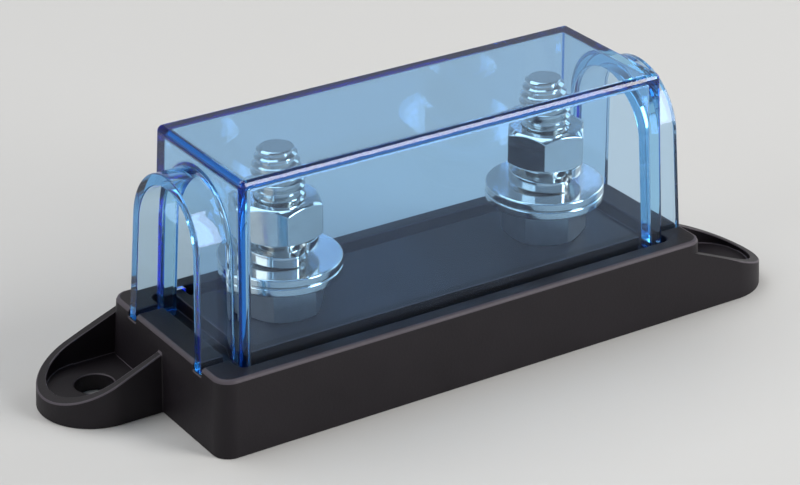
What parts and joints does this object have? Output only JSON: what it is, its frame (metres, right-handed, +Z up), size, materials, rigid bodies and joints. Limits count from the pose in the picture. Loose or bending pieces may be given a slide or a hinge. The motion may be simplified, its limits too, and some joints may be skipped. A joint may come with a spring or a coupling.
{
  "type": "bolt-down fuse holder",
  "caption": "Bolt-down fuse holder: moulded base with diagonal mounting ears, threaded terminal studs with nuts and washers, and a clear lift-off cover with arched cable hoods.",
  "frame": {"origin": "middle of the base's footprint, on the surface it is screwed to", "axes": "+X along the base from the left stud to the right stud, +Y to the back, +Z up along the studs"},
  "size_m": [0.1256, 0.037, 0.0423],
  "materials": {
    "moulded_base": "fine moulded matte black",
    "clear_cover": "clear blue, polished mould",
    "plated_steel": "bright zinc plate"
  },
  "bodies": {
    "base": {"base": "moulded_base", "left_stud": "plated_steel", "left_lower_nut": "plated_steel", "left_lower_washer": "plated_steel", "left_upper_washer": "plated_steel", "right_stud": "plated_steel", "right_lower_nut": "plated_steel", "right_lower_washer": "plated_steel", "right_upper_washer": "plated_steel"},
    "cover": {"cover": "clear_cover"},
    "left_lock": {"left_lock_washer": "plated_steel"},
    "left_nut": {"left_nut": "plated_steel"},
    "right_lock": {"right_lock_washer": "plated_steel"},
    "right_nut": {"right_nut": "plated_steel"}
  },
  "joints": [
    {"name": "cover_lift", "type": "slide", "parent": "base", "child": "cover", "axis": [0, 0, 1], "range_m": [0, 0.045]},
    {"name": "left_nut_travel", "type": "slide", "parent": "base", "child": "left_lock", "axis": [0, 0, 1], "range_m": [0, 0.0063]},
    {"name": "left_nut_turn", "type": "hinge", "parent": "left_lock", "child": "left_nut", "pos_m": [-0.02525, 0, 0.0291], "axis": [0, 0, 1], "range_deg": [0, 1800]},
    {"name": "right_nut_travel", "type": "slide", "parent": "base", "child": "right_lock", "axis": [0, 0, 1], "range_m": [0, 0.0063]},
    {"name": "right_nut_turn", "type": "hinge", "parent": "right_lock", "child": "right_nut", "pos_m": [0.02525, 0, 0.0291], "axis": [0, 0, 1], "range_deg": [0, 1800]}
  ],
  "couplings": [
    {"joint": "left_nut_travel", "follows": "left_nut_turn", "m_per_rad": 0.00019894},
    {"joint": "right_nut_travel", "follows": "right_nut_turn", "m_per_rad": 0.00019894}
  ]
}
